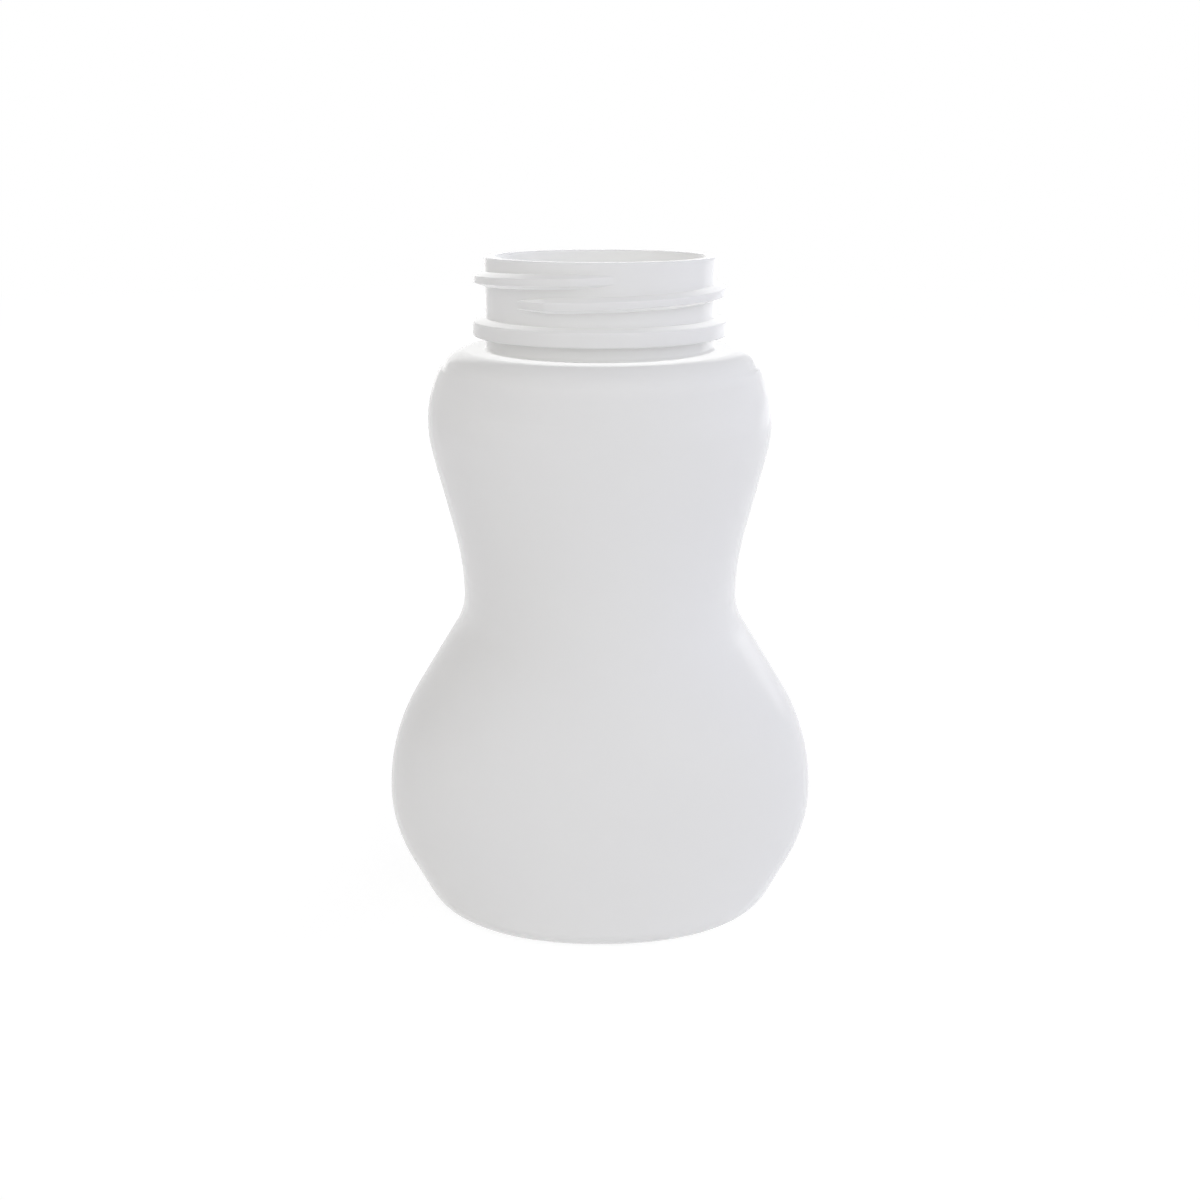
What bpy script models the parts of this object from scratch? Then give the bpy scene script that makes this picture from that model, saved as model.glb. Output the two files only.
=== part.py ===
"""Gourd-shaped bottle: one hollow moulding with a wide, round screw neck.

Lengths are in metres. The origin is the middle of the base, +Z runs up through the neck,
X runs across the wide gourd outline and -Y is the front.

Seen from the front the body is a gourd: a lobe, a waist and a wider bulb. Seen from the side
it is straight, because front and back run down flush from the round shoulder. Every level
section is therefore an oval whose half-width follows the gourd outline and whose half-depth
follows a plain upright outline. Both outlines are corners joined by straight lines and rounded
by tangent arcs. The body is a loft through these sections, and a smaller loft of the same
outlines, moved in by the wall, is cut out of it through the mouth.
"""

from math import ceil, cos, pi, radians, sin, tan

import bmesh
import bpy
from mathutils import Matrix, Vector

# Heights of the gourd outline, stacked from the base plane up to the shoulder
FOOT_RISE = 0.0149
BULB_RISE = 0.0172
FLANK_RISE = 0.0259
WAIST_RISE = 0.0103
BREAST_RISE = 0.0280
CROWN_RISE = 0.0075
LEDGE_DROP = 0.00285

# Half-widths of the gourd outline at its corners
FOOT_HALF_WIDTH = 0.0330
BULB_HALF_WIDTH = 0.0412
WAIST_HALF_WIDTH = 0.02545
LOBE_HALF_WIDTH = 0.0324
LEDGE_STEP = 0.0006

# Radii that round the corners of the gourd outline
BULB_LOWER_RADIUS = 0.0240
BULB_UPPER_RADIUS = 0.0390
WAIST_LOWER_RADIUS = 0.0144
WAIST_UPPER_RADIUS = 0.0510
LOBE_RADIUS = 0.0220

# Round shoulder, whose radius is also the half-depth of the whole body
SHOULDER_RADIUS = 0.0282
SHOULDER_EDGE_RADIUS = 0.0045

# Base: edge, standing band and the push-up inside it
BASE_EDGE_RADIUS = 0.0046
STANDING_BAND = 0.0030
PUSH_UP = 0.0025

# Neck, from the shoulder up to the lip
NECK_DIAMETER = 0.0405
NECK_WALL = 0.00165
NECK_BASE_HEIGHT = 0.00245
NECK_FILLET_RADIUS = 0.0006
BEAD_REACH = 0.00225
BEAD_HEIGHT = 0.0025
BEAD_TOP_RISE = 0.00055
BEAD_EDGE_RADIUS = 0.0003
FINISH_HEIGHT = 0.01035
LIP_EDGE_RADIUS = 0.00035

# Wall
WALL_THICKNESS = 0.0012
FLOOR_THICKNESS = 0.0016
THROAT_RADIUS = 0.0015
MOUTH_OVERRUN = 0.0020

# Ovals are ellipses down to the waist and grow a little squarer towards the base
ELLIPSE_EXPONENT = 2.0
BASE_EXPONENT = 2.2

# Resolution of the lofts
SEGMENTS = 52
OUTER_ARC_STEP = radians(9)
INNER_ARC_STEP = radians(15)
NECK_ARC_STEP = radians(30)
OUTER_RING_GAP = 0.0004
INNER_RING_GAP = 0.0010
DOME_SHARES = (0.8, 0.55, 0.28)
SMOOTH_ANGLE = radians(32)

# Finish
BOTTLE_COLOUR = (0.80, 0.80, 0.79, 1.0)
BOTTLE_ROUGHNESS = 0.38

# Levels and radii that follow from the sizes above
BULB_LOWER_LEVEL = FOOT_RISE
BULB_UPPER_LEVEL = BULB_LOWER_LEVEL + BULB_RISE
WAIST_LOWER_LEVEL = BULB_UPPER_LEVEL + FLANK_RISE
WAIST_UPPER_LEVEL = WAIST_LOWER_LEVEL + WAIST_RISE
LOBE_LEVEL = WAIST_UPPER_LEVEL + BREAST_RISE
LEDGE_LEVEL = LOBE_LEVEL + CROWN_RISE
SHOULDER_LEVEL = LEDGE_LEVEL + LEDGE_DROP
BEAD_BOTTOM_LEVEL = SHOULDER_LEVEL + NECK_BASE_HEIGHT
BEAD_TOP_LEVEL = BEAD_BOTTOM_LEVEL + BEAD_HEIGHT
FINISH_LEVEL = BEAD_TOP_LEVEL + BEAD_TOP_RISE
LIP_LEVEL = FINISH_LEVEL + FINISH_HEIGHT
NECK_RADIUS = NECK_DIAMETER / 2
BORE_RADIUS = NECK_RADIUS - NECK_WALL
BEAD_RADIUS = NECK_RADIUS + BEAD_REACH
SHOULDER_FLAT_RADIUS = SHOULDER_RADIUS - SHOULDER_EDGE_RADIUS


def clear_scene():
    """Remove whatever the scene holds, so that only the bottle is in it."""
    for item in list(bpy.data.objects):
        bpy.data.objects.remove(item, do_unlink=True)


def rounded_outline(corners, step):
    """Points down an outline whose corners (half, level, radius) are rounded by tangent arcs.

    The last corner only sets where the last straight line runs and is left off. Where two arcs
    need more than the straight line between their corners, their radii are reduced to fit it.
    """
    points = [Vector(corner[:2]) for corner in corners]
    inner = range(1, len(points) - 1)
    back = {i: (points[i - 1] - points[i]).normalized() for i in inner}
    ahead = {i: (points[i + 1] - points[i]).normalized() for i in inner}
    half_angle = {i: back[i].angle(ahead[i]) / 2 for i in inner}
    reach = [0] * len(points)
    for i in inner:
        reach[i] = corners[i][2] / tan(half_angle[i])
    fit = [1] * len(points)
    for i in range(len(points) - 1):
        room = (points[i + 1] - points[i]).length
        needed = reach[i] + reach[i + 1]
        if needed > room:
            fit[i] = min(fit[i], room / needed)
            fit[i + 1] = min(fit[i + 1], room / needed)

    outline = [points[0]]
    for i in inner:
        radius = corners[i][2] * fit[i]
        if radius == 0:
            outline.append(points[i])
            continue
        spoke_root = points[i] + (back[i] + ahead[i]).normalized() * (radius / sin(half_angle[i]))
        spoke = points[i] + back[i] * (reach[i] * fit[i]) - spoke_root
        sweep = pi - 2 * half_angle[i]
        turn = 1 if back[i].cross(ahead[i]) < 0 else -1
        steps = max(2, ceil(sweep / step))
        for k in range(steps + 1):
            outline.append(spoke_root + Matrix.Rotation(turn * sweep * k / steps, 2) @ spoke)
    return outline


def inset_corners(corners, distances):
    """Corners of the same outline moved in by one distance for each of its straight lines."""
    points = [Vector(corner[:2]) for corner in corners]
    lines = []
    for start, end, distance in zip(points, points[1:], distances):
        along = (end - start).normalized()
        inward = Vector((along.y, -along.x))
        lines.append((start + inward * distance, end + inward * distance, along))
    moved = [(*lines[0][0], 0)]
    for i in range(1, len(points) - 1):
        start, _, along = lines[i - 1]
        other, _, beyond = lines[i]
        turn = along.cross(beyond)
        corner = start + along * ((other - start).cross(beyond) / turn)
        growth = max(distances[i - 1], distances[i]) * (-1 if turn < 0 else 1)
        moved.append((*corner, max(corners[i][2] + growth, 0)))
    moved.append((*lines[-1][1], 0))
    return moved


def half_at(outline, level):
    """Half-size of a falling outline at a level, by the straight line between its points."""
    for upper, lower in zip(outline, outline[1:]):
        if lower.y < level <= upper.y:
            share = (upper.y - level) / (upper.y - lower.y)
            return upper.x + (lower.x - upper.x) * share
    return outline[0].x if level > outline[0].y else outline[-1].x


def ring_levels(outlines, top, bottom, gap):
    """Falling levels from top to bottom at which an outline bends, at least a gap apart."""
    levels = [bottom]
    for level in sorted(point.y for outline in outlines for point in outline):
        if level - levels[-1] >= gap and top - level >= gap:
            levels.append(level)
    return [top] + levels[::-1]


def exponent_at(level):
    """Exponent of the oval at a level: a true ellipse down to the waist, then squarer."""
    share = min(max((WAIST_LOWER_LEVEL - level) / WAIST_LOWER_LEVEL, 0), 1)
    return ELLIPSE_EXPONENT + (BASE_EXPONENT - ELLIPSE_EXPONENT) * share


def oval_ring(half_width, half_depth, level, exponent):
    """Points round a level oval, counter-clockwise seen from above."""
    points = []
    for k in range(SEGMENTS):
        angle = 2 * pi * k / SEGMENTS
        across, along = cos(angle), sin(angle)
        x = abs(across) ** (2 / exponent) * (1 if across > 0 else -1)
        y = abs(along) ** (2 / exponent) * (1 if along > 0 else -1)
        points.append(Vector((half_width * x, half_depth * y, level)))
    return points


def round_rings(profile):
    """Circular rings for the points of a turned profile."""
    return [oval_ring(point.x, point.x, point.y, ELLIPSE_EXPONENT) for point in profile]


def oval_rings(width_outline, depth_outline, levels):
    """Oval rings whose half-width and half-depth follow the two outlines."""
    rings = []
    for level in levels:
        half_width = half_at(width_outline, level)
        half_depth = half_at(depth_outline, level)
        rings.append(oval_ring(half_width, half_depth, level, exponent_at(level)))
    return rings


def dome_rings(half_width, half_depth, level):
    """Rings of the push-up, which rises inside the given oval."""
    rings = []
    for share in DOME_SHARES:
        height = level + PUSH_UP * (1 - share ** 2)
        rings.append(oval_ring(half_width * share, half_depth * share, height, BASE_EXPONENT))
    return rings


def loft(name, rings, top_level, bottom_level):
    """Closed mesh object through rings listed from top to bottom."""
    mesh = bmesh.new()
    loops = [[mesh.verts.new(point) for point in ring] for ring in rings]
    top = mesh.verts.new((0, 0, top_level))
    bottom = mesh.verts.new((0, 0, bottom_level))
    for k in range(SEGMENTS):
        after = (k + 1) % SEGMENTS
        mesh.faces.new((top, loops[0][k], loops[0][after]))
        mesh.faces.new((bottom, loops[-1][after], loops[-1][k]))
        for upper, lower in zip(loops, loops[1:]):
            mesh.faces.new((upper[k], lower[k], lower[after], upper[after]))
    data = bpy.data.meshes.new(name)
    mesh.to_mesh(data)
    mesh.free()
    return bpy.data.objects.new(name, data)


def neck_corners():
    """Profile of the neck from its middle at the lip, over the bead, down to the shoulder."""
    return [
        (0, LIP_LEVEL, 0),
        (NECK_RADIUS, LIP_LEVEL, LIP_EDGE_RADIUS),
        (NECK_RADIUS, FINISH_LEVEL, 0),
        (BEAD_RADIUS, BEAD_TOP_LEVEL, BEAD_EDGE_RADIUS),
        (BEAD_RADIUS, BEAD_BOTTOM_LEVEL, BEAD_EDGE_RADIUS),
        (NECK_RADIUS, BEAD_BOTTOM_LEVEL, 0),
        (NECK_RADIUS, SHOULDER_LEVEL, NECK_FILLET_RADIUS),
        (SHOULDER_FLAT_RADIUS, SHOULDER_LEVEL, 0),
    ]


def depth_corners():
    """Upright outline seen from the side: the shoulder, the flush front and the base."""
    return [
        (SHOULDER_FLAT_RADIUS, SHOULDER_LEVEL, 0),
        (SHOULDER_RADIUS, SHOULDER_LEVEL, SHOULDER_EDGE_RADIUS),
        (SHOULDER_RADIUS, 0, BASE_EDGE_RADIUS),
        (0, 0, 0),
    ]


def width_corners(ledge_half_width):
    """Gourd outline seen from the front, from the ledge under the shoulder to the base."""
    return [
        (ledge_half_width, LEDGE_LEVEL, 0),
        (LOBE_HALF_WIDTH, LOBE_LEVEL, LOBE_RADIUS),
        (WAIST_HALF_WIDTH, WAIST_UPPER_LEVEL, WAIST_UPPER_RADIUS),
        (WAIST_HALF_WIDTH, WAIST_LOWER_LEVEL, WAIST_LOWER_RADIUS),
        (BULB_HALF_WIDTH, BULB_UPPER_LEVEL, BULB_UPPER_RADIUS),
        (BULB_HALF_WIDTH, BULB_LOWER_LEVEL, BULB_LOWER_RADIUS),
        (FOOT_HALF_WIDTH, 0, BASE_EDGE_RADIUS),
        (0, 0, 0),
    ]


def shoulder_and_ledge():
    """Rings' profile of the round shoulder down to the ledge, and the ledge's half-width."""
    depth = rounded_outline(depth_corners(), OUTER_ARC_STEP)
    shoulder_end = half_at(depth, LEDGE_LEVEL)
    profile = [point for point in depth[1:] if point.y >= LEDGE_LEVEL + OUTER_RING_GAP]
    return profile + [Vector((shoulder_end, LEDGE_LEVEL))], shoulder_end + LEDGE_STEP


def outer_form():
    """Solid outer form of the bottle, with the push-up in its base."""
    shoulder, ledge_half_width = shoulder_and_ledge()
    neck = rounded_outline(neck_corners(), NECK_ARC_STEP)
    width = rounded_outline(width_corners(ledge_half_width), OUTER_ARC_STEP)
    depth = rounded_outline(depth_corners(), OUTER_ARC_STEP)
    levels = ring_levels((width, depth), LEDGE_LEVEL - LEDGE_STEP / 2, 0, OUTER_RING_GAP)
    band_half_width = half_at(width, 0) - STANDING_BAND
    band_half_depth = half_at(depth, 0) - STANDING_BAND

    rings = round_rings(neck[1:] + shoulder)
    rings += oval_rings(width, depth, levels)
    rings.append(oval_ring(band_half_width, band_half_depth, 0, BASE_EXPONENT))
    rings += dome_rings(band_half_width, band_half_depth, 0)
    return loft("bottle", rings, LIP_LEVEL, PUSH_UP)


def cavity():
    """The space inside the wall, open through the mouth and a little beyond the lip.

    Inside there is no ledge: the side wall runs on up to the ceiling under the shoulder.
    """
    ceiling = SHOULDER_LEVEL - WALL_THICKNESS
    gourd = width_corners(shoulder_and_ledge()[1])
    ledge, lobe = Vector(gourd[0][:2]), Vector(gourd[1][:2])
    crown = ledge + (ledge - lobe) * (LEDGE_DROP / CROWN_RISE)
    gourd[0] = (*crown, SHOULDER_EDGE_RADIUS)
    sides = [(0, SHOULDER_LEVEL, 0)] + gourd
    upright = [(0, SHOULDER_LEVEL, 0)] + depth_corners()[1:]

    outlines = []
    for corners in (sides, upright):
        distances = [WALL_THICKNESS] * (len(corners) - 2) + [FLOOR_THICKNESS]
        outlines.append(rounded_outline(inset_corners(corners, distances), INNER_ARC_STEP)[1:])
    throat = rounded_outline([
        (BORE_RADIUS, LIP_LEVEL + MOUTH_OVERRUN, 0),
        (BORE_RADIUS, ceiling, THROAT_RADIUS),
        (SHOULDER_RADIUS, ceiling, 0),
    ], NECK_ARC_STEP)
    levels = ring_levels(outlines, ceiling, FLOOR_THICKNESS, INNER_RING_GAP)
    floor_half_sizes = [half_at(outline, FLOOR_THICKNESS) for outline in outlines]

    rings = round_rings(throat)
    rings += oval_rings(*outlines, levels)
    rings += dome_rings(*floor_half_sizes, FLOOR_THICKNESS)
    return loft("cavity", rings, LIP_LEVEL + MOUTH_OVERRUN, FLOOR_THICKNESS + PUSH_UP)


def moulded_plastic(name, colour, roughness):
    """Principled material of a moulded plastic."""
    material = bpy.data.materials.new(name)
    material.use_nodes = True
    material.diffuse_color = colour
    shader = material.node_tree.nodes["Principled BSDF"]
    shader.inputs["Base Color"].default_value = colour
    shader.inputs["Roughness"].default_value = roughness
    shader.inputs["Metallic"].default_value = 0
    return material


def new_collection(name):
    """Collection of that name in the scene."""
    collection = bpy.data.collections.new(name)
    bpy.context.scene.collection.children.link(collection)
    return collection


def shade_round(item):
    """Smooth shading that keeps the sharp edges of lip, bead and ledge."""
    item.data.shade_smooth()
    item.data.set_sharp_from_angle(angle=SMOOTH_ANGLE)


def build():
    """Make the bottle and cut its cavity."""
    clear_scene()
    parts = new_collection("gourd_bottle")
    cutters = new_collection("cutters")

    bottle = outer_form()
    shade_round(bottle)
    plastic = moulded_plastic("white_polyethylene", BOTTLE_COLOUR, BOTTLE_ROUGHNESS)
    bottle.data.materials.append(plastic)
    parts.objects.link(bottle)

    space = cavity()
    shade_round(space)
    space.hide_render = True
    space.display_type = "WIRE"
    cutters.objects.link(space)

    cut = bottle.modifiers.new("cavity", "BOOLEAN")
    cut.operation = "DIFFERENCE"
    cut.solver = "EXACT"
    cut.object = space


build()
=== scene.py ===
# %% [markdown]
# # A gourd-shaped bottle, moulded in white polyethylene
#
# The real object is a single hollow moulding. A tube of soft plastic is closed in a two-part mould
# and blown against its walls, so body, shoulder, neck and screw thread are one skin about a
# millimetre thick. This lesson draws that skin once, as a loft of level sections that runs up the
# outside, over the lip and down the inside, then sweeps the thread round the neck with Geometry
# Nodes and joins the two. The plain solid of the same bottle is loaded first. It gives the place
# and the overall size, and the finished bottle takes its place.

# %% Open the plain solid
from math import ceil, cos, exp, pi, radians, sin, tan

import bpy
from mathutils import Matrix, Vector


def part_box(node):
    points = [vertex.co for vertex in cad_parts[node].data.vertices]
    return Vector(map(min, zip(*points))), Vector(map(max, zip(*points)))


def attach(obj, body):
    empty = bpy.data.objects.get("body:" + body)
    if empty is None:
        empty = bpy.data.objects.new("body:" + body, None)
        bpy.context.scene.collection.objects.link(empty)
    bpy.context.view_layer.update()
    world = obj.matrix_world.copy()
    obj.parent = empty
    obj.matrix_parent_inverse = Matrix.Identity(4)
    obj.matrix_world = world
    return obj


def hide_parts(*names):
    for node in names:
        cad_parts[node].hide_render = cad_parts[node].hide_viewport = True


MM = 0.001

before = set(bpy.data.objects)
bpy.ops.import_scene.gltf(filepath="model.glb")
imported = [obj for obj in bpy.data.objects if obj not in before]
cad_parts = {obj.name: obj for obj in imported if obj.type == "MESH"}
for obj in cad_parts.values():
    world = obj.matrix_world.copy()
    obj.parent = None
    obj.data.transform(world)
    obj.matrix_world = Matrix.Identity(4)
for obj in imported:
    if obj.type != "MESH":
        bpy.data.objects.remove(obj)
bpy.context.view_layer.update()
cad_low, cad_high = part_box("bottle")
print("Plain solid, in mm:", [round(side / MM, 1) for side in cad_high - cad_low])

# %% [markdown]
# ## Camera
#
# A round neck seen at an angle gives ellipses, and their flatness and drift from ring to ring
# fix where the camera stood: close in front, a little above the lip, and tilted down. The focal
# length is kept in pixels of a picture 1200 pixels wide and turned into millimetres on the
# sensor. One small function makes an object for the camera, and later for every other thing
# that this lesson adds.

# %% Camera
PICTURE_WIDTH = 1200
FOCAL_PIXELS = 1287
SENSOR_WIDTH = 36.0
CAMERA_TILT = radians(18.21)
CAMERA_DISTANCE = 232.3 * MM
CAMERA_ABOVE_LIP = 13.07 * MM
CLIP_START = 10 * MM


def add_object(name, data):
    """Object with a name and its data, put into the scene."""
    item = bpy.data.objects.new(name, data)
    bpy.context.scene.collection.objects.link(item)
    return item


camera = add_object("camera", bpy.data.cameras.new("camera"))
bpy.context.scene.camera = camera
camera.location = (0, -CAMERA_DISTANCE, cad_high.z + CAMERA_ABOVE_LIP)
camera.rotation_euler = (pi / 2 - CAMERA_TILT, 0, 0)
camera.data.sensor_width = SENSOR_WIDTH
camera.data.lens = SENSOR_WIDTH * FOCAL_PIXELS / PICTURE_WIDTH
camera.data.clip_start = CLIP_START
print("Lens", round(camera.data.lens, 2), "mm")

# %% [markdown]
# ## Two helpers for materials
#
# Colours are written as they look on a screen, in hex, while shaders calculate in linear light,
# so one function turns the one into the other. The second adds a node to a tree, with its
# settings and its links. A name or number that is one of the node's sockets sets that socket, and
# any other name sets a property of the node.

# %% Helpers for colours and nodes
def linear_colour(code):
    """Linear RGBA for an sRGB hex colour such as #E4E4E2."""
    channels = [int(code[i:i + 2], 16) / 255 for i in (1, 3, 5)]
    linear = [c / 12.92 if c <= 0.04045 else ((c + 0.055) / 1.055) ** 2.4 for c in channels]
    return (*linear, 1.0)


def add_node(tree, kind, settings=None, links=None):
    """Add a node of a kind, give it its settings, and link sockets of other nodes to it."""
    node = tree.nodes.new(kind)
    for name, value in (settings or {}).items():
        if isinstance(name, int) or name in node.inputs:
            node.inputs[name].default_value = value
        else:
            setattr(node, name, value)
    for name, source in (links or {}).items():
        tree.links.new(source, node.inputs[name])
    return node


# %% [markdown]
# ## The plastic
#
# The bottle is high-density polyethylene with white pigment. Its mould was sandblasted, which
# leaves a satin skin: reflections are soft, but the surface still brightens where it is seen at a
# low angle. The colour is a plain white that varies a little where the skin was stretched.
# Polyethylene has an IOR of 1.54. Half of the light that isn't reflected enters the skin and
# comes out a few millimetres away, which softens the edges of lip and thread. The grain of the
# blasting is about 0.05 mm wide, too fine for the picture, so it is drawn at 0.3 mm. Blown skin
# is also never quite flat, and long low waves of some 14 mm show that in the reflections.

# %% Blown polyethylene, satin
WHITE_THICK = "#EAEAE8"
WHITE_STRETCHED = "#E8E8E7"
STRETCH_SIZE = 25 * MM
GRAIN_SIZE = 0.3 * MM
GRAIN_DEPTH = 0.004 * MM
WAVE_SIZE = 14 * MM
WAVE_DEPTH = 0.02 * MM
ROUGHNESS_RANGE = (0.14, 0.22)
POLYETHYLENE_IOR = 1.54
LIGHT_SHARE = 0.5
LIGHT_DEPTH = 2.5 * MM


def blown_polyethylene(name):
    """White satin polyethylene with a blasted grain and the slow waves of a blown skin."""
    material = bpy.data.materials.new(name)
    material.use_nodes = True
    tree = material.node_tree
    shader = tree.nodes["Principled BSDF"]
    place = add_node(tree, "ShaderNodeTexCoord").outputs["Object"]

    stretch = add_node(tree, "ShaderNodeTexNoise", {"Scale": 1 / STRETCH_SIZE, "Detail": 2.0},
                       {"Vector": place})
    colour = add_node(tree, "ShaderNodeMix", {"data_type": "RGBA"},
                      {"Factor": stretch.outputs["Fac"]})
    colour.inputs["A"].default_value = linear_colour(WHITE_THICK)
    colour.inputs["B"].default_value = linear_colour(WHITE_STRETCHED)
    grain = add_node(tree, "ShaderNodeTexNoise", {"Scale": 1 / GRAIN_SIZE, "Detail": 3.0},
                     {"Vector": place})
    gloss = add_node(tree, "ShaderNodeMapRange",
                     {"To Min": ROUGHNESS_RANGE[0], "To Max": ROUGHNESS_RANGE[1]},
                     {"Value": grain.outputs["Fac"]})
    wave = add_node(tree, "ShaderNodeTexNoise", {"Scale": 1 / WAVE_SIZE, "Detail": 0.0},
                    {"Vector": place})
    waves = add_node(tree, "ShaderNodeBump", {"Distance": WAVE_DEPTH},
                     {"Height": wave.outputs["Fac"]})
    skin = add_node(tree, "ShaderNodeBump", {"Distance": GRAIN_DEPTH},
                    {"Height": grain.outputs["Fac"], "Normal": waves.outputs["Normal"]})

    tree.links.new(colour.outputs["Result"], shader.inputs["Base Color"])
    tree.links.new(gloss.outputs["Result"], shader.inputs["Roughness"])
    tree.links.new(skin.outputs["Normal"], shader.inputs["Normal"])
    shader.inputs["IOR"].default_value = POLYETHYLENE_IOR
    shader.inputs["Subsurface Weight"].default_value = LIGHT_SHARE
    shader.inputs["Subsurface Radius"].default_value = (1.0, 1.0, 1.0)
    shader.inputs["Subsurface Scale"].default_value = LIGHT_DEPTH
    return material


polyethylene = blown_polyethylene("blown_polyethylene")
print("Material:", polyethylene.name)

# %% [markdown]
# ## Outlines with rounded corners
#
# The makers of such a bottle draw it as straight lines and tangent arcs, so the lesson does too.
# An outline is a list of corners, each with its half-width, its level and the radius that rounds
# it. The function walks down the list and swaps each corner for points on its arc. Long straight
# stretches between arcs are cut into short ones, which keeps the smooth shading from smearing
# across them.

# %% Rounded outlines
def rounded_outline(corners, step, longest):
    """Points along corners (half, level, radius), with arcs at the corners.

    Two arcs that need more than the straight line between them are reduced to fit it.
    """
    points = [Vector(corner[:2]) for corner in corners]
    inner = range(1, len(points) - 1)
    back = {i: (points[i - 1] - points[i]).normalized() for i in inner}
    ahead = {i: (points[i + 1] - points[i]).normalized() for i in inner}
    half_angle = {i: back[i].angle(ahead[i]) / 2 for i in inner}
    reach = [0] * len(points)
    for i in inner:
        reach[i] = corners[i][2] / tan(half_angle[i])
    fit = [1] * len(points)
    for i in range(len(points) - 1):
        room = (points[i + 1] - points[i]).length
        needed = reach[i] + reach[i + 1]
        if needed > room:
            fit[i] = min(fit[i], room / needed)
            fit[i + 1] = min(fit[i + 1], room / needed)

    outline = [points[0]]
    for i in inner:
        radius = corners[i][2] * fit[i]
        arc = [points[i]]
        if radius > 0:
            middle = points[i] + (back[i] + ahead[i]).normalized() * (radius / sin(half_angle[i]))
            spoke = points[i] + back[i] * (reach[i] * fit[i]) - middle
            sweep = pi - 2 * half_angle[i]
            turn = 1 if back[i].cross(ahead[i]) < 0 else -1
            steps = max(2, ceil(sweep / step))
            arc = [middle + Matrix.Rotation(turn * sweep * k / steps, 2) @ spoke
                   for k in range(steps + 1)]
        if i > 1:
            outline += straight_points(outline[-1], arc[0], longest)
        outline += arc
    return outline + [points[-1]]


def straight_points(start, end, longest):
    """Points between two ends that cut a straight line into pieces no longer than asked."""
    pieces = max(1, ceil((end - start).length / longest))
    return [start.lerp(end, k / pieces) for k in range(1, pieces)]


def inset_corners(corners, distances):
    """The corners moved inwards, by one distance for each straight line of the outline."""
    points = [Vector(corner[:2]) for corner in corners]
    lines = []
    for start, end, distance in zip(points, points[1:], distances):
        along = (end - start).normalized()
        inward = Vector((along.y, -along.x)) * distance
        lines.append((start + inward, end + inward, along))
    moved = [(*lines[0][0], 0)]
    for i in range(1, len(points) - 1):
        start, _, along = lines[i - 1]
        other, _, beyond = lines[i]
        turn = along.cross(beyond)
        corner = start + along * ((other - start).cross(beyond) / turn)
        growth = max(distances[i - 1], distances[i]) * (-1 if turn < 0 else 1)
        moved.append((*corner, max(corners[i][2] + growth, 0)))
    return moved + [(*lines[-1][1], 0)]


def half_at(outline, level):
    """Half-size of a falling outline at a level."""
    for upper, lower in zip(outline, outline[1:]):
        if lower.y < level <= upper.y:
            share = (upper.y - level) / (upper.y - lower.y)
            return upper.x + (lower.x - upper.x) * share
    return outline[0 if level > outline[0].y else -1].x


# %% [markdown]
# ## Sizes of the body
#
# Seen from the front the body is a gourd, and seen from the side it is straight: front and back
# run down flush from the round shoulder. Two outlines are enough to say so, one for the
# half-width and one for the half-depth. The widest places and the height come from the plain
# solid, and the corners between them are written here from the top down.

# %% Sizes of the body
LIP_LEVEL = cad_high.z
SHOULDER_RADIUS = cad_high.y
SHOULDER_LEVEL = LIP_LEVEL - 15.85 * MM
SHOULDER_EDGE_RADIUS = 4.5 * MM
LEDGE_LEVEL = SHOULDER_LEVEL - 2.85 * MM
LEDGE_STEP = 0.6 * MM

LOBE_CORNER = (32.4 * MM, LEDGE_LEVEL - 7.5 * MM, 22.0 * MM)
WAIST_UPPER_CORNER = (25.45 * MM, LEDGE_LEVEL - 35.5 * MM, 51.0 * MM)
WAIST_LOWER_CORNER = (25.45 * MM, LEDGE_LEVEL - 45.8 * MM, 14.4 * MM)
BULB_UPPER_CORNER = (cad_high.x, LEDGE_LEVEL - 71.7 * MM, 39.0 * MM)
BULB_LOWER_CORNER = (cad_high.x, LEDGE_LEVEL - 88.9 * MM, 24.0 * MM)
FOOT_CORNER = (33.0 * MM, 0, 4.6 * MM)

WALL = 1.2 * MM
FLOOR = 1.6 * MM
STANDING_BAND = 3.0 * MM
PUSH_UP = 2.5 * MM

BODY_ARC_STEP = radians(3)
BODY_LONGEST = 1.5 * MM
SMALL_ARC_STEP = radians(12)
SMALL_LONGEST = 0.5 * MM

shoulder_side = [
    (0, SHOULDER_LEVEL, 0),
    (SHOULDER_RADIUS, SHOULDER_LEVEL, SHOULDER_EDGE_RADIUS),
    (SHOULDER_RADIUS, 0, FOOT_CORNER[2]),
    (0, 0, 0),
]
depth_outline = rounded_outline(shoulder_side, BODY_ARC_STEP, BODY_LONGEST)[1:-1]
ledge_half_width = half_at(depth_outline, LEDGE_LEVEL) + LEDGE_STEP
gourd_side = [
    (ledge_half_width, LEDGE_LEVEL, 0),
    LOBE_CORNER, WAIST_UPPER_CORNER, WAIST_LOWER_CORNER,
    BULB_UPPER_CORNER, BULB_LOWER_CORNER, FOOT_CORNER,
    (0, 0, 0),
]
width_outline = rounded_outline(gourd_side, BODY_ARC_STEP, BODY_LONGEST)[:-1]
print("Waist, in mm:", round(2 * half_at(width_outline, WAIST_LOWER_CORNER[1]) / MM, 1))

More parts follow.
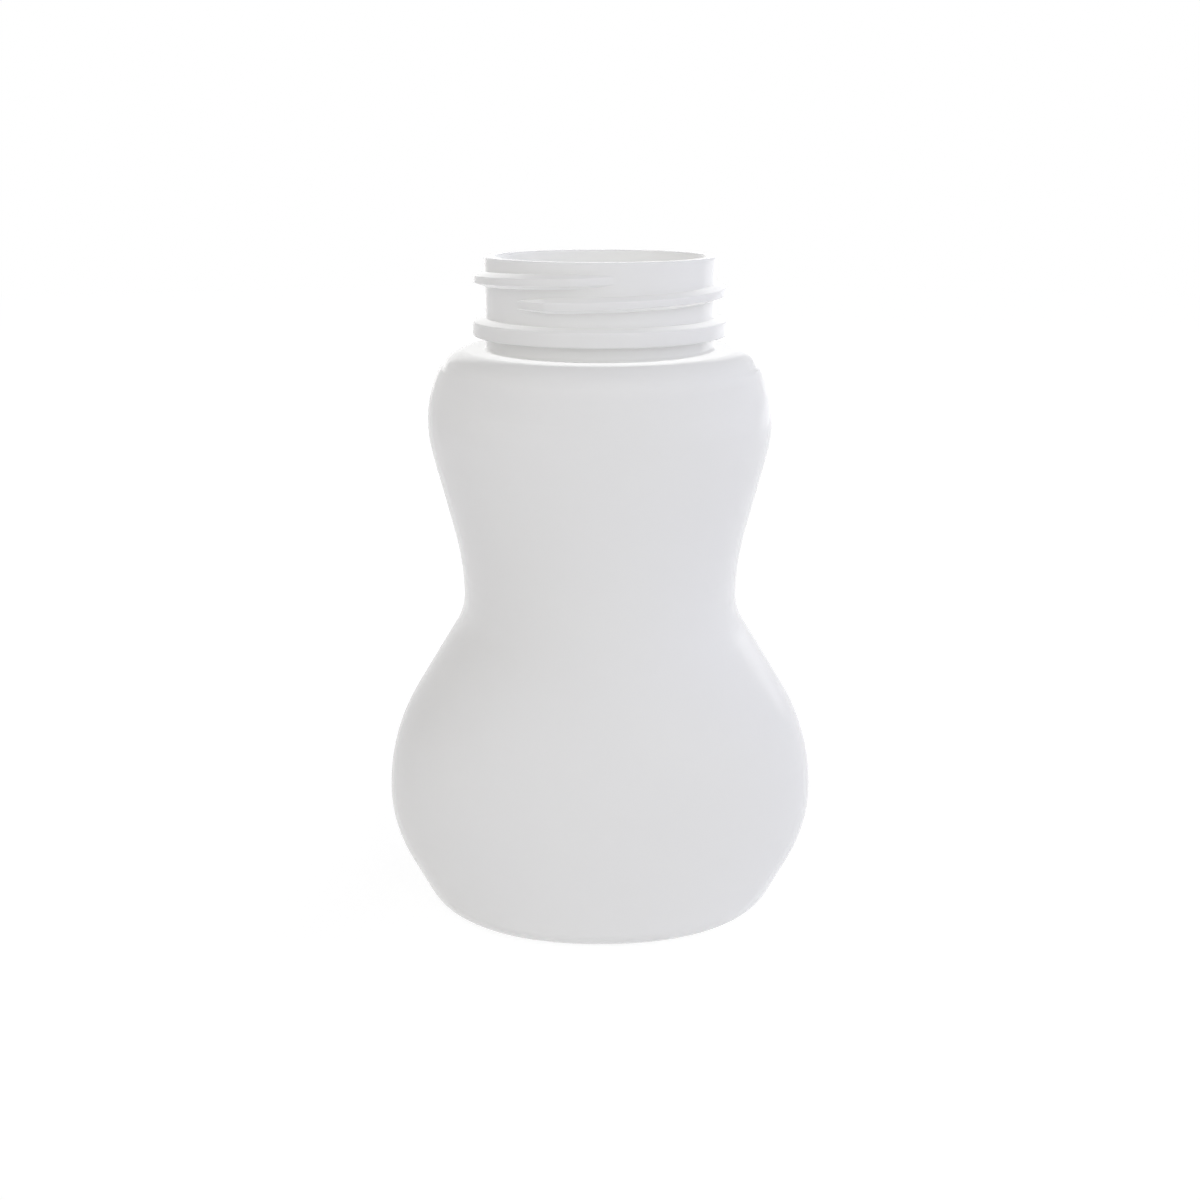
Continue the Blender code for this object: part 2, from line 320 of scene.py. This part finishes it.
# %% [markdown]
# ## From outlines to rings
#
# A ring is one level section of the bottle. On the neck it is a circle. On the body it is an oval
# with the half-width of the gourd and the half-depth of the side outline, a true ellipse down to
# the waist and a little squarer towards the base. Where the two mould halves met, a blown bottle
# has a fine raised line down each side. It is drawn as a ridge that stands at the outline, with
# the skin eased back beside it, so extra columns of points crowd together there.
#
# Under the round shoulder the body steps out by a small ledge, at the two sides only. Towards the
# front and the back it runs out, and the body starts flush with the shoulder and swells from
# there.

# %% Rings
COLUMNS = 144
RIDGE_COLUMNS = [radians(angle) for angle in (0.25, 0.5, 0.9, 1.5)]
RIDGE_HALF_ANGLE = radians(0.5)
RIDGE_EASE_ANGLE = radians(2.5)
RIDGE_HEIGHT = 0.04 * MM
LEDGE_FADE = 8
LEDGE_BLEND = 9.0 * MM
ELLIPSE_EXPONENT = 2.0
BASE_EXPONENT = 2.2


def smooth_step(share):
    """0 up to 0, 1 from 1, with an even swing between."""
    share = min(max(share, 0), 1)
    return share * share * (3 - 2 * share)


def column_angles():
    """Angles round a section: even columns, and a few more beside the two parting lines."""
    even = [2 * pi * k / COLUMNS for k in range(COLUMNS)]
    beside = [side + sign * angle for side in (0, pi) for sign in (-1, 1)
              for angle in RIDGE_COLUMNS]
    return sorted(angle % (2 * pi) for angle in even + beside)


ANGLES = column_angles()


def parting_relief(angle):
    """How far the skin lies inside the outline beside a parting line."""
    aside = abs((angle + pi / 2) % pi - pi / 2)
    if aside < RIDGE_HALF_ANGLE:
        return RIDGE_HEIGHT * (1 - cos(pi * aside / RIDGE_HALF_ANGLE)) / 2
    return RIDGE_HEIGHT * exp(-((aside - RIDGE_HALF_ANGLE) / RIDGE_EASE_ANGLE) ** 2)


def oval(half_width, half_depth, level, exponent=ELLIPSE_EXPONENT, relief=0.0):
    """Points round a level oval, with its share of the parting line's relief."""
    ring = []
    for angle in ANGLES:
        across, along = cos(angle), sin(angle)
        x = abs(across) ** (2 / exponent) * (half_width - relief * parting_relief(angle))
        y = abs(along) ** (2 / exponent) * half_depth
        ring.append((x if across > 0 else -x, y if along > 0 else -y, level))
    return ring


def circle(point, relief=0.0):
    """Ring of a turned profile's point (radius, level)."""
    return oval(point.x, point.x, point.y, relief=relief)


def exponent_at(level):
    """Exponent of the oval at a level: an ellipse down to the waist, then squarer."""
    waist = WAIST_LOWER_CORNER[1]
    share = min(max((waist - level) / waist, 0), 1)
    return ELLIPSE_EXPONENT + (BASE_EXPONENT - ELLIPSE_EXPONENT) * share


def body_levels(outlines, top, bottom, gap):
    """Falling levels at which either outline has a point, at least a gap apart."""
    levels = [bottom]
    for level in sorted(point.y for outline in outlines for point in outline):
        if level - levels[-1] >= gap and top - level >= gap:
            levels.append(level)
    return [top] + levels[::-1]


def flush_with_shoulder(ring, radius):
    """Draw a ring near the ledge to the shoulder's circle, the more the further from its sides."""
    depth_below = (LEDGE_LEVEL - ring[0][2]) / LEDGE_BLEND
    power = LEDGE_FADE * (1 - smooth_step(depth_below))
    drawn = []
    for angle, (x, y, level) in zip(ANGLES, ring):
        share = abs(cos(angle)) ** power
        drawn.append((radius * cos(angle) * (1 - share) + x * share,
                      radius * sin(angle) * (1 - share) + y * share, level))
    return drawn


def body_rings(width, depth, levels, relief=0.0):
    """Oval rings that follow both outlines down the levels."""
    rings = []
    for level in levels:
        half_depth = half_at(depth, level)
        ring = oval(half_at(width, level), half_depth, level, exponent_at(level), relief)
        rings.append(flush_with_shoulder(ring, half_depth))
    return rings


print("Columns round each ring:", len(ANGLES))

# %% [markdown]
# ## Neck
#
# The neck is turned about its own axis. From the lip it runs down as a plain cylinder, spreads
# over a conical step to the bead, a collar as wide as the thread that the cap's skirt comes down
# to, returns under the bead and meets the flat shoulder in a small fillet.

# %% Neck profile
NECK_RADIUS = 20.25 * MM
BORE_RADIUS = 18.6 * MM
LIP_MIDDLE_RADIUS = (BORE_RADIUS + NECK_RADIUS) / 2
LIP_EDGE_RADIUS = 0.35 * MM
LIP_BORE_RADIUS = 0.25 * MM
FINISH_LEVEL = LIP_LEVEL - 10.35 * MM
BEAD_RADIUS = 22.5 * MM
BEAD_TOP_LEVEL = FINISH_LEVEL - 0.55 * MM
BEAD_BOTTOM_LEVEL = BEAD_TOP_LEVEL - 2.5 * MM
BEAD_EDGE_RADIUS = 0.3 * MM
BEAD_ROOT_RADIUS = 0.1 * MM
NECK_FILLET_RADIUS = 0.6 * MM
SHOULDER_FLAT_RADIUS = SHOULDER_RADIUS - SHOULDER_EDGE_RADIUS

neck_profile = rounded_outline([
    (LIP_MIDDLE_RADIUS, LIP_LEVEL, 0),
    (NECK_RADIUS, LIP_LEVEL, LIP_EDGE_RADIUS),
    (NECK_RADIUS, FINISH_LEVEL, BEAD_ROOT_RADIUS),
    (BEAD_RADIUS, BEAD_TOP_LEVEL, BEAD_EDGE_RADIUS),
    (BEAD_RADIUS, BEAD_BOTTOM_LEVEL, BEAD_EDGE_RADIUS),
    (NECK_RADIUS, BEAD_BOTTOM_LEVEL, BEAD_ROOT_RADIUS),
    (NECK_RADIUS, SHOULDER_LEVEL, NECK_FILLET_RADIUS),
    (SHOULDER_FLAT_RADIUS, SHOULDER_LEVEL, 0),
], SMALL_ARC_STEP, SMALL_LONGEST)[:-1]
print("Rings on the neck:", len(neck_profile))

# %% [markdown]
# ## The whole skin
#
# The rings are listed in the order in which a finger would trace them: from the middle of the
# base out over the push-up to the standing band, up the outside, over the lip, down the bore and
# back to the middle of the floor inside. One list gives one closed surface with an even wall,
# so there is nothing to cut out afterwards. The push-up is the shallow dome that keeps a blown
# base from rocking, and along its middle lies the weld where the mould pinched the tube shut.

# %% Outside rings
DOME_STEPS = 10
DOME_SHARES = [k / DOME_STEPS for k in range(DOME_STEPS - 1, 0, -1)]
WELD_HALF_LENGTH = 19.0 * MM
WELD_HALF_WIDTH = 0.7 * MM
WELD_HEIGHT = 0.5 * MM
BODY_GAP = 0.3 * MM


def weld_rise(x, y):
    """How far the pinch-off weld hangs below the push-up at a place."""
    along = smooth_step((WELD_HALF_LENGTH - abs(x)) / WELD_HALF_WIDTH)
    return WELD_HEIGHT * along * exp(-(y / WELD_HALF_WIDTH) ** 2)


def dome(half_width, half_depth, level, weld=False):
    """Rings of the push-up inside an oval, from its rim to its middle."""
    rings = []
    for share in DOME_SHARES:
        height = level + PUSH_UP * (1 - share ** 2)
        ring = oval(half_width * share, half_depth * share, height, BASE_EXPONENT)
        if weld:
            ring = [(x, y, z - weld_rise(x, y)) for x, y, z in ring]
        rings.append(ring)
    return rings


shoulder_profile = [p for p in depth_outline if p.y > LEDGE_LEVEL + BODY_GAP]
shoulder_profile.append(Vector((ledge_half_width - LEDGE_STEP, LEDGE_LEVEL)))
outer_levels = body_levels((width_outline, depth_outline), LEDGE_LEVEL - LEDGE_STEP / 2, 0,
                           BODY_GAP)
band_width = half_at(width_outline, 0) - STANDING_BAND
band_depth = half_at(depth_outline, 0) - STANDING_BAND

outside = [circle(point) for point in neck_profile]
outside += [circle(point, relief=1.0) for point in shoulder_profile]
outside += body_rings(width_outline, depth_outline, outer_levels, relief=1.0)
outside.append(oval(band_width, band_depth, 0, BASE_EXPONENT))
outside += dome(band_width, band_depth, 0, weld=True)
print("Rings outside:", len(outside))

# %% [markdown]
# Inside, the outline of the body is the same one moved in by the wall. A wall measured square to
# the surface stays even, so the straight lines of the outline are moved, and their arcs follow
# with their radii made larger or smaller by the wall. The ledge under the shoulder is outside
# only.

# %% Inside rings
THROAT_RADIUS = 1.5 * MM
THROAT_LONGEST = 1.0 * MM
INNER_ARC_STEP = radians(6)
INNER_LONGEST = 3.0 * MM
INNER_GAP = 0.8 * MM

ceiling = SHOULDER_LEVEL - WALL
lobe_slope = (LOBE_CORNER[0] - ledge_half_width) / (LEDGE_LEVEL - LOBE_CORNER[1])
crown_half_width = ledge_half_width - lobe_slope * (SHOULDER_LEVEL - LEDGE_LEVEL)
inner_side = [(0, SHOULDER_LEVEL, 0), (crown_half_width, SHOULDER_LEVEL, SHOULDER_EDGE_RADIUS)]
inner_side += gourd_side[1:]


def inner_outline(corners):
    """Outline of the inside of the wall, from the ceiling under the shoulder to the floor."""
    walls = [WALL] * (len(corners) - 2) + [FLOOR]
    return rounded_outline(inset_corners(corners, walls), INNER_ARC_STEP, INNER_LONGEST)[1:-1]


inner_width = inner_outline(inner_side)
inner_depth = inner_outline(shoulder_side)
throat = rounded_outline([
    (LIP_MIDDLE_RADIUS, LIP_LEVEL, 0),
    (BORE_RADIUS, LIP_LEVEL, LIP_BORE_RADIUS),
    (BORE_RADIUS, ceiling, THROAT_RADIUS),
    (SHOULDER_FLAT_RADIUS, ceiling, 0),
], SMALL_ARC_STEP, THROAT_LONGEST)[1:-1]
inner_levels = body_levels((inner_width, inner_depth), ceiling, FLOOR, INNER_GAP)

inside = [circle(point) for point in throat]
inside += body_rings(inner_width, inner_depth, inner_levels)
inside += dome(half_at(inner_width, FLOOR), half_at(inner_depth, FLOOR), FLOOR)
print("Rings inside:", len(inside))

# %% One closed surface
def closed_loft(name, rings, first_pole, last_pole):
    """Closed mesh object through rings, with a fan of triangles to a pole at each end."""
    count = len(ANGLES)
    points = [point for ring in rings for point in ring] + [first_pole, last_pole]
    first, last = len(points) - 2, len(points) - 1
    faces = []
    for k in range(count):
        after = (k + 1) % count
        faces.append((first, after, k))
        faces.append((last, last - 1 - count + k, last - 1 - count + after))
        for row in range(0, count * (len(rings) - 1), count):
            faces.append((row + k, row + after, row + count + after, row + count + k))
    data = bpy.data.meshes.new(name)
    data.from_pydata(points, [], faces)
    return add_object(name, data)


skin = closed_loft("bottle_skin", outside[::-1] + inside,
                   (0, 0, PUSH_UP - WELD_HEIGHT), (0, 0, FLOOR + PUSH_UP))
print("Skin:", len(skin.data.vertices), "points,", len(skin.data.polygons), "faces")

# %% [markdown]
# ## Screw thread
#
# The thread is one raised rib, a little over a turn long, right-handed. Its outside is a flat
# land with crisp edges, and its flanks are steep. At both ends the rib sinks into the neck within
# a twentieth of a turn, so its flanks taper to a point. Geometry Nodes are good at such a shape:
# a spiral is the path, the profile is swept along it, and near the two ends each point is drawn
# towards the axis, though never so far that the buried side of the rib would come out in the
# bore. The profile is drawn by the same rounding function as the bottle.

# %% Profile of the thread
THREAD_HEIGHT = 1.95 * MM
THREAD_LEAD = 3.8 * MM
THREAD_LAND = 1.2 * MM
THREAD_ROOT = 2.5 * MM
THREAD_EDGE_RADIUS = 0.12 * MM
THREAD_EDGE_STEP = radians(18)
THREAD_BURIED = 1.0 * MM


def thread_profile():
    """Curve object with the rib's cross-section: +X away from the neck's wall, Y along it."""
    spread = (THREAD_ROOT - THREAD_LAND) / 2 / THREAD_HEIGHT
    half = [
        (-THREAD_BURIED, THREAD_ROOT / 2 + THREAD_BURIED * spread, 0),
        (THREAD_HEIGHT, THREAD_LAND / 2, THREAD_EDGE_RADIUS),
        (THREAD_HEIGHT, 0, 0),
    ]
    flank = rounded_outline(half, THREAD_EDGE_STEP, THREAD_LAND)
    outline = flank + [Vector((p.x, -p.y)) for p in flank[-2::-1]]
    data = bpy.data.curves.new("thread_profile", "CURVE")
    spline = data.splines.new("POLY")
    spline.points.add(len(outline) - 1)
    spline.use_cyclic_u = True
    for knot, point in zip(spline.points, outline[::-1]):
        knot.co = (point.x, point.y, 0, 1)
    return add_object("thread_profile", data)


profile = thread_profile()
print("Points round the profile:", len(profile.data.splines[0].points))

# %% [markdown]
# The tree below reads from left to right as: spiral, sweep, sink the ends, place. A spiral starts
# on the X axis, so the result is turned to where the lower end of the thread is. Inputs of the
# modifier are set by the identifier of their socket, which is what the modifier stores.

# %% Geometry Nodes for the thread
THREAD_DEGREES = 410
RUN_OUT_DEGREES = 19
THREAD_TURNS = THREAD_DEGREES / 360
THREAD_LOWER_ANGLE = radians(-133)
THREAD_TOP_DROP = 2.8 * MM
THREAD_TIP_COVER = 0.03 * MM
THREAD_SINK = THREAD_HEIGHT + THREAD_TIP_COVER
THREAD_DEEPEST = 1.4 * MM
STEPS_PER_TURN = 216


def thread_tree():
    """Node tree that sweeps a profile along a spiral and lets both of its ends run out."""
    tree = bpy.data.node_groups.new("screw_thread", "GeometryNodeTree")
    sizes = [("Profile", "NodeSocketObject"), ("Wall radius", "NodeSocketFloat"),
             ("Turns", "NodeSocketFloat"), ("Lead", "NodeSocketFloat"),
             ("Steps per turn", "NodeSocketInt"), ("Run-out share", "NodeSocketFloat"),
             ("Sink at the ends", "NodeSocketFloat"), ("Least radius", "NodeSocketFloat"),
             ("Lower end angle", "NodeSocketFloat"), ("Lower end level", "NodeSocketFloat"),
             ("Material", "NodeSocketMaterial")]
    for name, kind in sizes:
        tree.interface.new_socket(name, in_out="INPUT", socket_type=kind)
    tree.interface.new_socket("Geometry", in_out="OUTPUT", socket_type="NodeSocketGeometry")
    given = add_node(tree, "NodeGroupInput").outputs

    rise = add_node(tree, "ShaderNodeMath", {"operation": "MULTIPLY"},
                    {0: given["Turns"], 1: given["Lead"]})
    spiral = add_node(tree, "GeometryNodeCurveSpiral", {"Reverse": True}, {
        "Resolution": given["Steps per turn"], "Rotations": given["Turns"],
        "Start Radius": given["Wall radius"], "End Radius": given["Wall radius"],
        "Height": rise.outputs[0]})
    upright = add_node(tree, "GeometryNodeSetCurveNormal", {"mode": "Z_UP"},
                       {"Curve": spiral.outputs["Curve"]})
    along = add_node(tree, "GeometryNodeSplineParameter").outputs["Factor"]
    keep = add_node(tree, "GeometryNodeCaptureAttribute", None,
                    {"Geometry": upright.outputs["Curve"]})
    keep.capture_items.new("FLOAT", "Along")
    tree.links.new(along, keep.inputs["Along"])
    shape = add_node(tree, "GeometryNodeObjectInfo", None, {"Object": given["Profile"]})
    rib = add_node(tree, "GeometryNodeCurveToMesh", {"Fill Caps": True}, {
        "Curve": keep.outputs["Geometry"], "Profile Curve": shape.outputs["Geometry"]})

    from_end = add_node(tree, "ShaderNodeMath", {"operation": "SUBTRACT", 0: 1.0},
                        {1: keep.outputs["Along"]})
    nearest = add_node(tree, "ShaderNodeMath", {"operation": "MINIMUM"},
                       {0: keep.outputs["Along"], 1: from_end.outputs[0]})
    sink = add_node(tree, "ShaderNodeMapRange", {"To Max": 0.0}, {
        "Value": nearest.outputs[0], "From Max": given["Run-out share"],
        "To Min": given["Sink at the ends"]})
    place = add_node(tree, "GeometryNodeInputPosition").outputs["Position"]
    flat = add_node(tree, "ShaderNodeVectorMath", {"operation": "MULTIPLY", 1: (1, 1, 0)},
                    {0: place})
    radius = add_node(tree, "ShaderNodeVectorMath", {"operation": "LENGTH"},
                      {0: flat.outputs["Vector"]})
    sunk = add_node(tree, "ShaderNodeMath", {"operation": "SUBTRACT"},
                    {0: radius.outputs["Value"], 1: sink.outputs["Result"]})
    held = add_node(tree, "ShaderNodeMath", {"operation": "MAXIMUM"},
                    {0: sunk.outputs[0], 1: given["Least radius"]})
    pull = add_node(tree, "ShaderNodeMath", {"operation": "SUBTRACT"},
                    {0: held.outputs[0], 1: radius.outputs["Value"]})
    outward = add_node(tree, "ShaderNodeVectorMath", {"operation": "NORMALIZE"},
                       {0: flat.outputs["Vector"]})
    move = add_node(tree, "ShaderNodeVectorMath", {"operation": "SCALE"},
                    {0: outward.outputs["Vector"], "Scale": pull.outputs[0]})
    tapered = add_node(tree, "GeometryNodeSetPosition", None,
                       {"Geometry": rib.outputs["Mesh"], "Offset": move.outputs["Vector"]})

    turn = add_node(tree, "ShaderNodeCombineXYZ", None, {"Z": given["Lower end angle"]})
    lift = add_node(tree, "ShaderNodeCombineXYZ", None, {"Z": given["Lower end level"]})
    placed = add_node(tree, "GeometryNodeTransform", None, {
        "Geometry": tapered.outputs["Geometry"], "Translation": lift.outputs["Vector"],
        "Rotation": turn.outputs["Vector"]})
    real = add_node(tree, "GeometryNodeRealizeInstances", None,
                    {"Geometry": placed.outputs["Geometry"]})
    painted = add_node(tree, "GeometryNodeSetMaterial", None, {
        "Geometry": real.outputs["Geometry"], "Material": given["Material"]})
    add_node(tree, "NodeGroupOutput", None, {"Geometry": painted.outputs["Geometry"]})
    return tree


def grow(name, tree, values):
    """Run a tree with values for its named inputs and return the result as a plain mesh."""
    holder = add_object(name, bpy.data.meshes.new(name))
    modifier = holder.modifiers.new(tree.name, "NODES")
    modifier.node_group = tree
    for socket in tree.interface.items_tree:
        if socket.in_out == "INPUT":
            modifier[socket.identifier] = values[socket.name]
    graph = bpy.context.evaluated_depsgraph_get()
    grown = bpy.data.meshes.new_from_object(holder.evaluated_get(graph), depsgraph=graph)
    holder.modifiers.remove(modifier)
    holder.data = grown
    return holder


thread = grow("thread_rib", thread_tree(), {
    "Profile": profile,
    "Wall radius": NECK_RADIUS,
    "Turns": THREAD_TURNS,
    "Lead": THREAD_LEAD,
    "Steps per turn": STEPS_PER_TURN,
    "Run-out share": RUN_OUT_DEGREES / THREAD_DEGREES,
    "Sink at the ends": THREAD_SINK,
    "Least radius": NECK_RADIUS - THREAD_DEEPEST,
    "Lower end angle": THREAD_LOWER_ANGLE,
    "Lower end level": LIP_LEVEL - THREAD_TOP_DROP - THREAD_LEAD * THREAD_TURNS,
    "Material": polyethylene,
})
bpy.data.objects.remove(profile)
print("Thread:", len(thread.data.vertices), "points,", len(thread.data.polygons), "faces")

# %% [markdown]
# ## One moulding
#
# Thread and skin are one piece of plastic, so a Boolean union joins them and drops what lies
# inside the wall. Faces are then shaded smooth across arcs and sharp across crisp edges, with the
# normals weighted by the size of the faces, so that lip, bead and land keep their flat faces
# flat.
#
# Reflections on the bottle leave the bottle itself out. A satin skin seen at a low angle mirrors
# what stands behind it, and in the photograph the tops of shoulder, bead and thread mirror the
# bright room there and not the neck in front of it.

# %% Join the thread to the skin
CRISP_ANGLE = radians(35)


def is_closed(mesh):
    """Whether every edge of a mesh has exactly two faces."""
    used = {}
    for polygon in mesh.polygons:
        for key in polygon.edge_keys:
            used[key] = used.get(key, 0) + 1
    return all(count == 2 for count in used.values())


union = skin.modifiers.new("thread", "BOOLEAN")
union.operation = "UNION"
union.solver = "EXACT"
union.object = thread
graph = bpy.context.evaluated_depsgraph_get()
moulding = bpy.data.meshes.new_from_object(skin.evaluated_get(graph), depsgraph=graph)
for item in (skin, thread):
    bpy.data.objects.remove(item)

bottle = add_object("bottle_moulding", moulding)
moulding.name = "bottle_moulding"
moulding.materials.clear()
moulding.materials.append(polyethylene)
moulding.shade_smooth()
moulding.set_sharp_from_angle(angle=CRISP_ANGLE)
weighted = bottle.modifiers.new("flat_faces", "WEIGHTED_NORMAL")
weighted.keep_sharp = True
bottle.visible_glossy = False

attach(bottle, "root")
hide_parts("bottle")
print("Bottle:", len(moulding.polygons), "faces, closed:", is_closed(moulding))

# %% [markdown]
# ## Floor and surroundings
#
# The bottle stands on a white floor in white surroundings. What the camera and reflections see of
# them is full white, while the light that falls on the bottle is softer and not the same from all
# sides, so the white of the picture never depends on how bright the lighting is. Cycles tells the
# two apart by the kind of ray. A part of the floor's look stays ordinary matte paint, which keeps
# a soft shadow under the bottle.

# %% Which rays see the white surroundings
def sees_white(tree):
    """Output that is 1 for rays from the camera, a reflection or a see-through surface, else 0."""
    path = add_node(tree, "ShaderNodeLightPath").outputs
    direct = add_node(tree, "ShaderNodeMath", {"operation": "MAXIMUM"},
                      {0: path["Is Camera Ray"], 1: path["Is Glossy Ray"]})
    return add_node(tree, "ShaderNodeMath", {"operation": "MAXIMUM"},
                    {0: direct.outputs[0], 1: path["Is Transmission Ray"]}).outputs[0]


# %% Floor
FLOOR_RADIUS = 1.5
FLOOR_SIDES = 96
FLOOR_PAINT = "#FAFAFA"
FLOOR_GLOW = 1.155
SHADOW_SHARE = 0.25


def matte_white_floor():
    """Matte white paint, seen at full white except where the bottle shades it."""
    material = bpy.data.materials.new("matte_white_floor")
    material.use_nodes = True
    tree = material.node_tree
    tree.nodes.clear()
    paint = add_node(tree, "ShaderNodeBsdfDiffuse", {"Color": linear_colour(FLOOR_PAINT)})
    glow = add_node(tree, "ShaderNodeEmission", {"Color": (1, 1, 1, 1), "Strength": FLOOR_GLOW})
    shown = add_node(tree, "ShaderNodeMixShader", {0: SHADOW_SHARE},
                     {1: glow.outputs[0], 2: paint.outputs[0]})
    surface = add_node(tree, "ShaderNodeMixShader", None,
                       {0: sees_white(tree), 1: paint.outputs[0], 2: shown.outputs[0]})
    add_node(tree, "ShaderNodeOutputMaterial", None, {"Surface": surface.outputs[0]})
    return material


def make_floor():
    """Large disc on the plane that the bottle stands on."""
    turns = [2 * pi * k / FLOOR_SIDES for k in range(FLOOR_SIDES)]
    rim = [(FLOOR_RADIUS * cos(turn), FLOOR_RADIUS * sin(turn), cad_low.z) for turn in turns]
    data = bpy.data.meshes.new("floor")
    data.from_pydata(rim, [], [tuple(range(FLOOR_SIDES))])
    data.materials.append(matte_white_floor())
    floor = add_object("floor", data)
    return floor


floor = make_floor()
print("Floor radius:", FLOOR_RADIUS, "m")

# %% [markdown]
# ## Light
#
# The photograph was lit by a bright wall all round and a darker ceiling: level faces and upright
# ones are pale, and the roundings between them, which look up, are darker. The wall is a little
# warm and dim on the left, and bright and cool on the right and behind. The world draws it as
# a few wide glows, each brightest in one direction and fading smoothly from there, so no edge of
# a lamp shows on the satin skin.

# %% World
GLOWS = [
    (275, 2, 3.0, "#FFFFFF", 1.58),
    (190, 15, 4.0, "#FFFAF8", 0.7),
    (0, 10, 4.0, "#E9EBFF", 1.3),
    (60, 10, 4.0, "#FFFFFF", 0.4),
]
CEILING = 0.06


def direction(azimuth, elevation):
    """Unit vector towards an azimuth and an elevation in degrees, counted from +X."""
    across, up = radians(azimuth), radians(elevation)
    return Vector((cos(across) * cos(up), sin(across) * cos(up), sin(up)))


def white_surroundings():
    """World that lights by its glows and looks white."""
    world = bpy.data.worlds.new("white_surroundings")
    world.use_nodes = True
    tree = world.node_tree
    tree.nodes.clear()
    ray = add_node(tree, "ShaderNodeTexCoord").outputs["Generated"]
    total = add_node(tree, "ShaderNodeCombineXYZ",
                     {"X": CEILING, "Y": CEILING, "Z": CEILING}).outputs[0]
    for azimuth, elevation, sharpness, colour, strength in GLOWS:
        aside = add_node(tree, "ShaderNodeVectorMath",
                         {"operation": "DOT_PRODUCT", 1: direction(azimuth, elevation)}, {0: ray})
        fall = add_node(tree, "ShaderNodeMath",
                        {"operation": "MULTIPLY_ADD", 1: sharpness, 2: -sharpness},
                        {0: aside.outputs["Value"]})
        share = add_node(tree, "ShaderNodeMath", {"operation": "EXPONENT"}, {0: fall.outputs[0]})
        tint = [channel * strength for channel in linear_colour(colour)[:3]]
        total = add_node(tree, "ShaderNodeVectorMath", {"operation": "MULTIPLY_ADD", 1: tint},
                         {0: share.outputs[0], 2: total}).outputs[0]
    lighting = add_node(tree, "ShaderNodeBackground", None, {"Color": total})
    white = add_node(tree, "ShaderNodeBackground", {"Color": (1, 1, 1, 1)})
    sky = add_node(tree, "ShaderNodeMixShader", None,
                   {0: sees_white(tree), 1: lighting.outputs[0], 2: white.outputs[0]})
    add_node(tree, "ShaderNodeOutputWorld", None, {"Surface": sky.outputs[0]})
    return world


bpy.context.scene.world = white_surroundings()
bpy.context.scene.view_settings.view_transform = "Standard"
print("Glows:", len(GLOWS))

# %% [markdown]
# Three soft lamps stand behind the bottle and brighten its sides. Each row gives the name,
# azimuth, elevation, distance, width, height and power, and whether reflections show the lamp.
# The one on the right is kept out of them, because a satin skin seen at a low angle would mirror
# it and lose the right ends of thread, bead and shoulder in plain white. The low, narrow one
# makes the flank of the bulb glow. Two small lamps inside the bottle stand for the light that
# comes in through its thin wall. They are kept out of reflections too, so no spot shows on the
# floor inside.

# %% Lamps
LAMPS = [
    ("lamp_right_behind", 45, 25, 0.9, 0.6, 0.6, 1.0, False),
    ("lamp_low_behind", 54, 5, 0.6, 0.45, 0.09, 0.07, True),
    ("lamp_behind", 95, 14, 1.0, 0.8, 0.8, 1.1, True),
]
INSIDE_LAMP_RADIUS = 8.0 * MM
INSIDE_LAMPS = [
    ("lamp_in_neck", 16.0 * MM, 0.0034),
    ("lamp_in_bulb", 85.0 * MM, 0.007),
]


def area_lamp(name, azimuth, elevation, distance, width, height, power, reflected):
    """Soft lamp that faces the middle of the bottle and isn't seen itself."""
    lamp = bpy.data.lights.new(name, "AREA")
    lamp.shape = "RECTANGLE"
    lamp.size = width
    lamp.size_y = height
    lamp.energy = power
    item = add_object(name, lamp)
    item.location = direction(azimuth, elevation) * distance
    aim = Vector((0, 0, LIP_LEVEL / 2)) - item.location
    item.rotation_euler = aim.to_track_quat("-Z", "Y").to_euler()
    item.visible_camera = False
    item.visible_glossy = reflected


def inside_lamp(name, drop, power):
    """Small round lamp on the bottle's axis, at a drop below the lip, that isn't seen itself."""
    lamp = bpy.data.lights.new(name, "POINT")
    lamp.shadow_soft_size = INSIDE_LAMP_RADIUS
    lamp.energy = power
    item = add_object(name, lamp)
    item.location.z = LIP_LEVEL - drop
    item.visible_camera = False
    item.visible_glossy = False


for lamp in LAMPS:
    area_lamp(*lamp)
for lamp in INSIDE_LAMPS:
    inside_lamp(*lamp)
print("Lamps:", len(LAMPS) + len(INSIDE_LAMPS))
